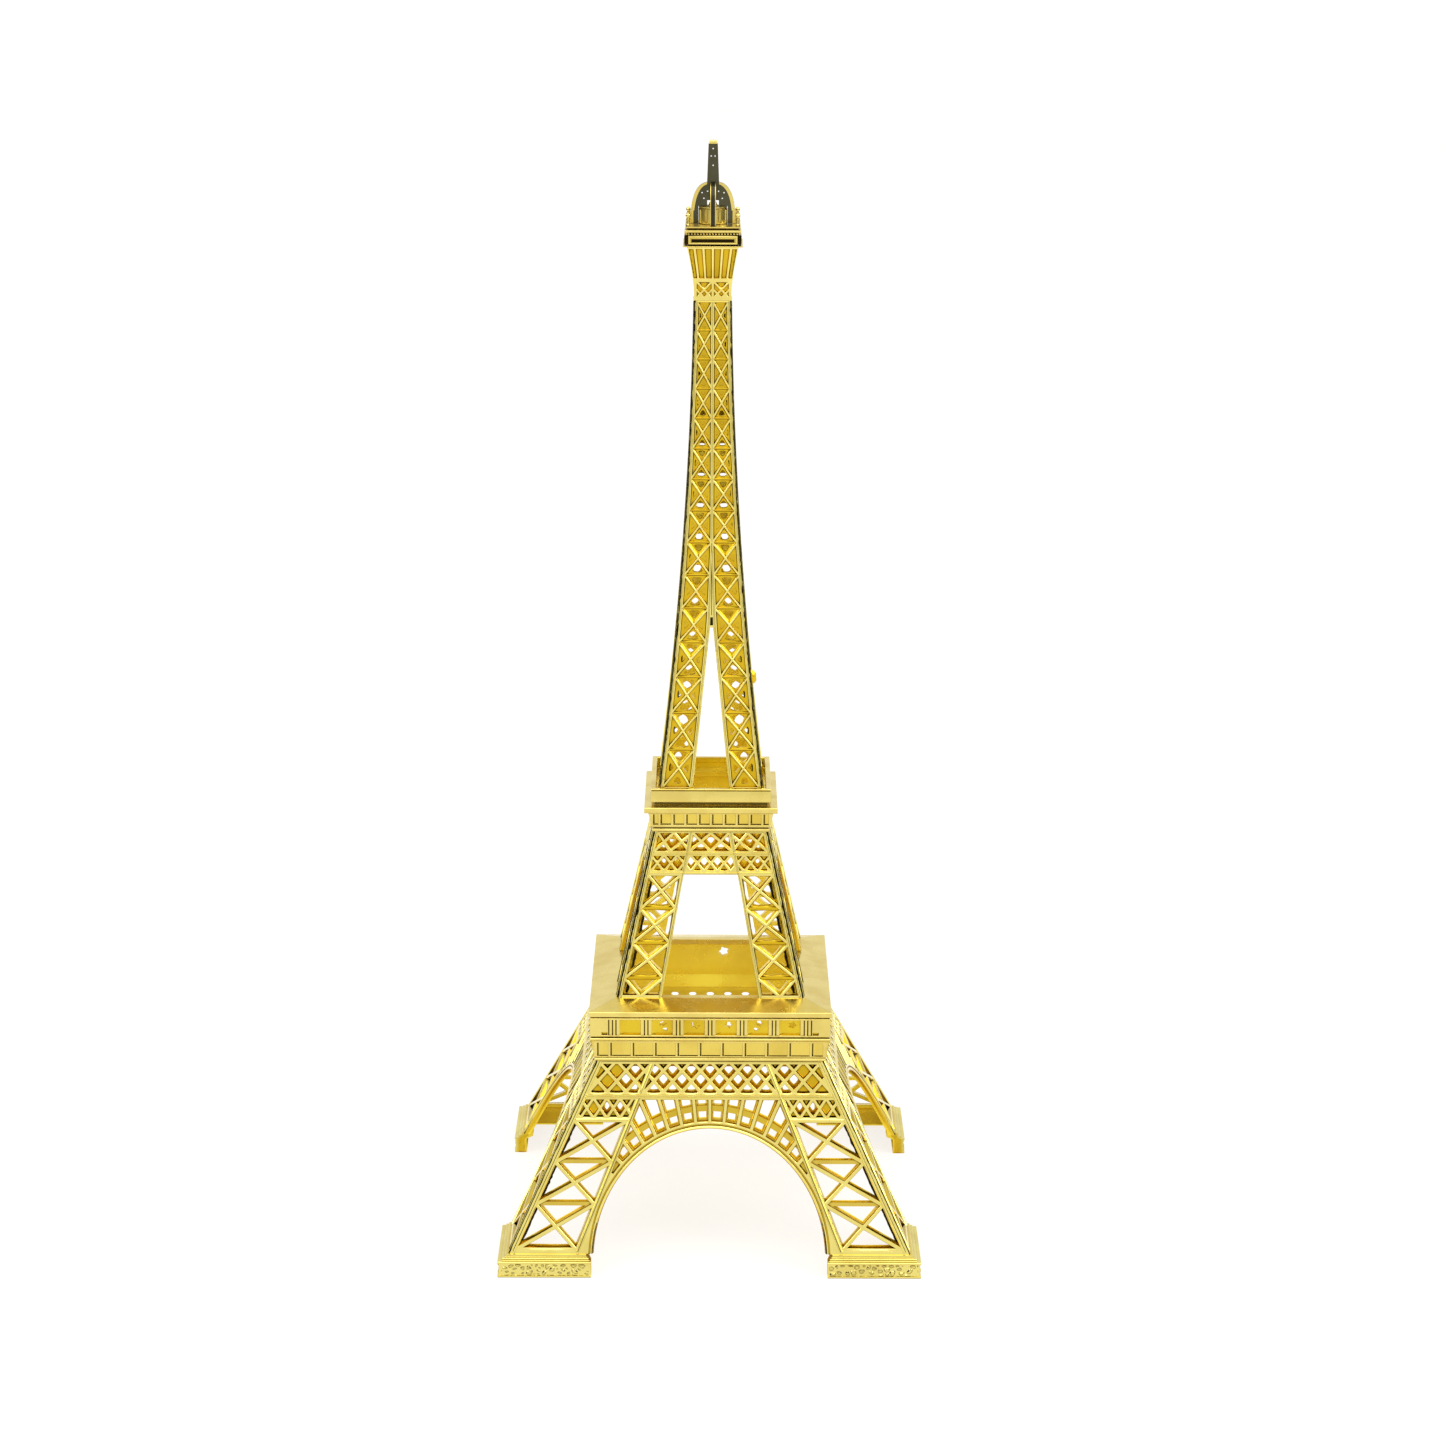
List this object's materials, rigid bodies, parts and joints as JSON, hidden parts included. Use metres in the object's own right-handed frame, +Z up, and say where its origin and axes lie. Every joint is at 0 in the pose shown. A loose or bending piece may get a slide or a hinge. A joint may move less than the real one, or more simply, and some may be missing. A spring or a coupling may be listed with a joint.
{
  "type": "miniature landmark model",
  "caption": "Gold plated metal souvenir of a tall four-legged lattice tower, with arched base, stepped platforms and a crossed spire.",
  "frame": {"origin": "centre of the square footprint on the surface that the tower stands on", "axes": "+Z up along the tower, -Y towards the front side, +X to the right of the front side"},
  "size_m": [0.123, 0.123, 0.32],
  "materials": {
    "plated_casting": "bright yellow gold electroplate over zinc die casting",
    "plated_platform": "pale gold electroplate with fine cast grain",
    "spire_plate": "dark mirror plate with bright edges",
    "solder": "rough plated solder seam"
  },
  "bodies": {
    "root": {"base_panel_front": "plated_casting", "base_panel_left": "plated_casting", "base_panel_rear": "plated_casting", "base_panel_right": "plated_casting", "base_solder": "solder", "gallery_front": "plated_platform", "gallery_left": "plated_platform", "gallery_rear": "plated_platform", "gallery_right": "plated_platform", "lantern_corner_posts": "plated_platform", "lantern_drum": "plated_platform", "lantern_finial": "plated_platform", "mast_cap": "plated_platform", "middle_panel_front": "plated_casting", "middle_panel_left": "plated_casting", "middle_panel_rear": "plated_casting", "middle_panel_right": "plated_casting", "middle_solder": "solder", "platform_front": "plated_platform", "platform_left": "plated_platform", "platform_rear": "plated_platform", "platform_right": "plated_platform", "spire_plate_front": "spire_plate", "spire_plate_side": "spire_plate", "top_bracket": "plated_casting", "top_platform": "plated_platform", "upper_panel_front": "plated_casting", "upper_panel_left": "plated_casting", "upper_panel_rear": "plated_casting", "upper_panel_right": "plated_casting", "upper_solder": "solder"}
  },
  "joints": []
}
